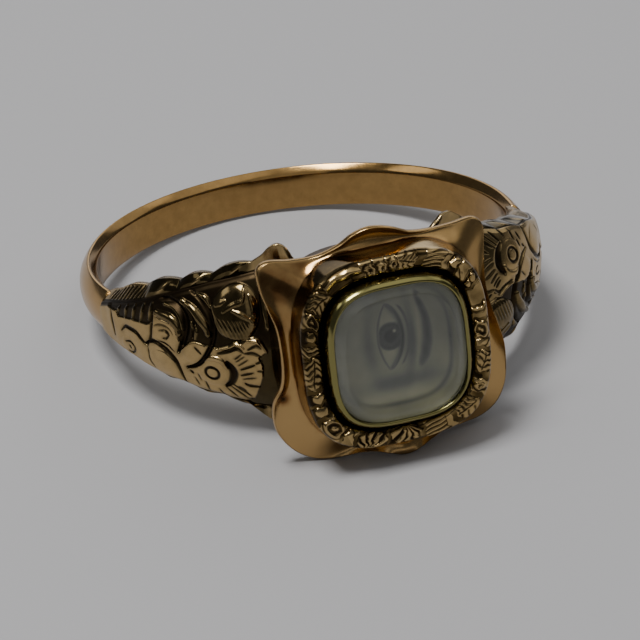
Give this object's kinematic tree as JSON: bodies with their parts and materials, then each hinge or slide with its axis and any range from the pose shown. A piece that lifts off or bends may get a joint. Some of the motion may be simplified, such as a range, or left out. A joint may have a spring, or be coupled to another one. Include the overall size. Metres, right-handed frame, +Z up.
{
  "type": "lovers eye ring",
  "caption": "Gold finger ring with chased shoulders and a wavy square bezel holding a glazed painted miniature of an eye in a chased border.",
  "frame": {"origin": "under the middle of the ring's box, on the surface that the ring lies on", "axes": "+Z up, the bezel faces -Y and is raised 11 degrees, the finger hole's axis leans from +Z towards +Y by as much, +X to the wearer's side shown right of the bezel"},
  "size_m": [0.0188, 0.0218, 0.0096],
  "materials": {
    "gold": "satin",
    "rim_gold": "satin",
    "crystal": "polished",
    "painted_plaque": "matte"
  },
  "bodies": {
    "root": {"hoop": "gold", "left_shoulder": "gold", "right_shoulder": "gold", "bezel": "gold", "glass_rim": "rim_gold", "crystal": "crystal", "eye_miniature": "painted_plaque"}
  },
  "joints": []
}
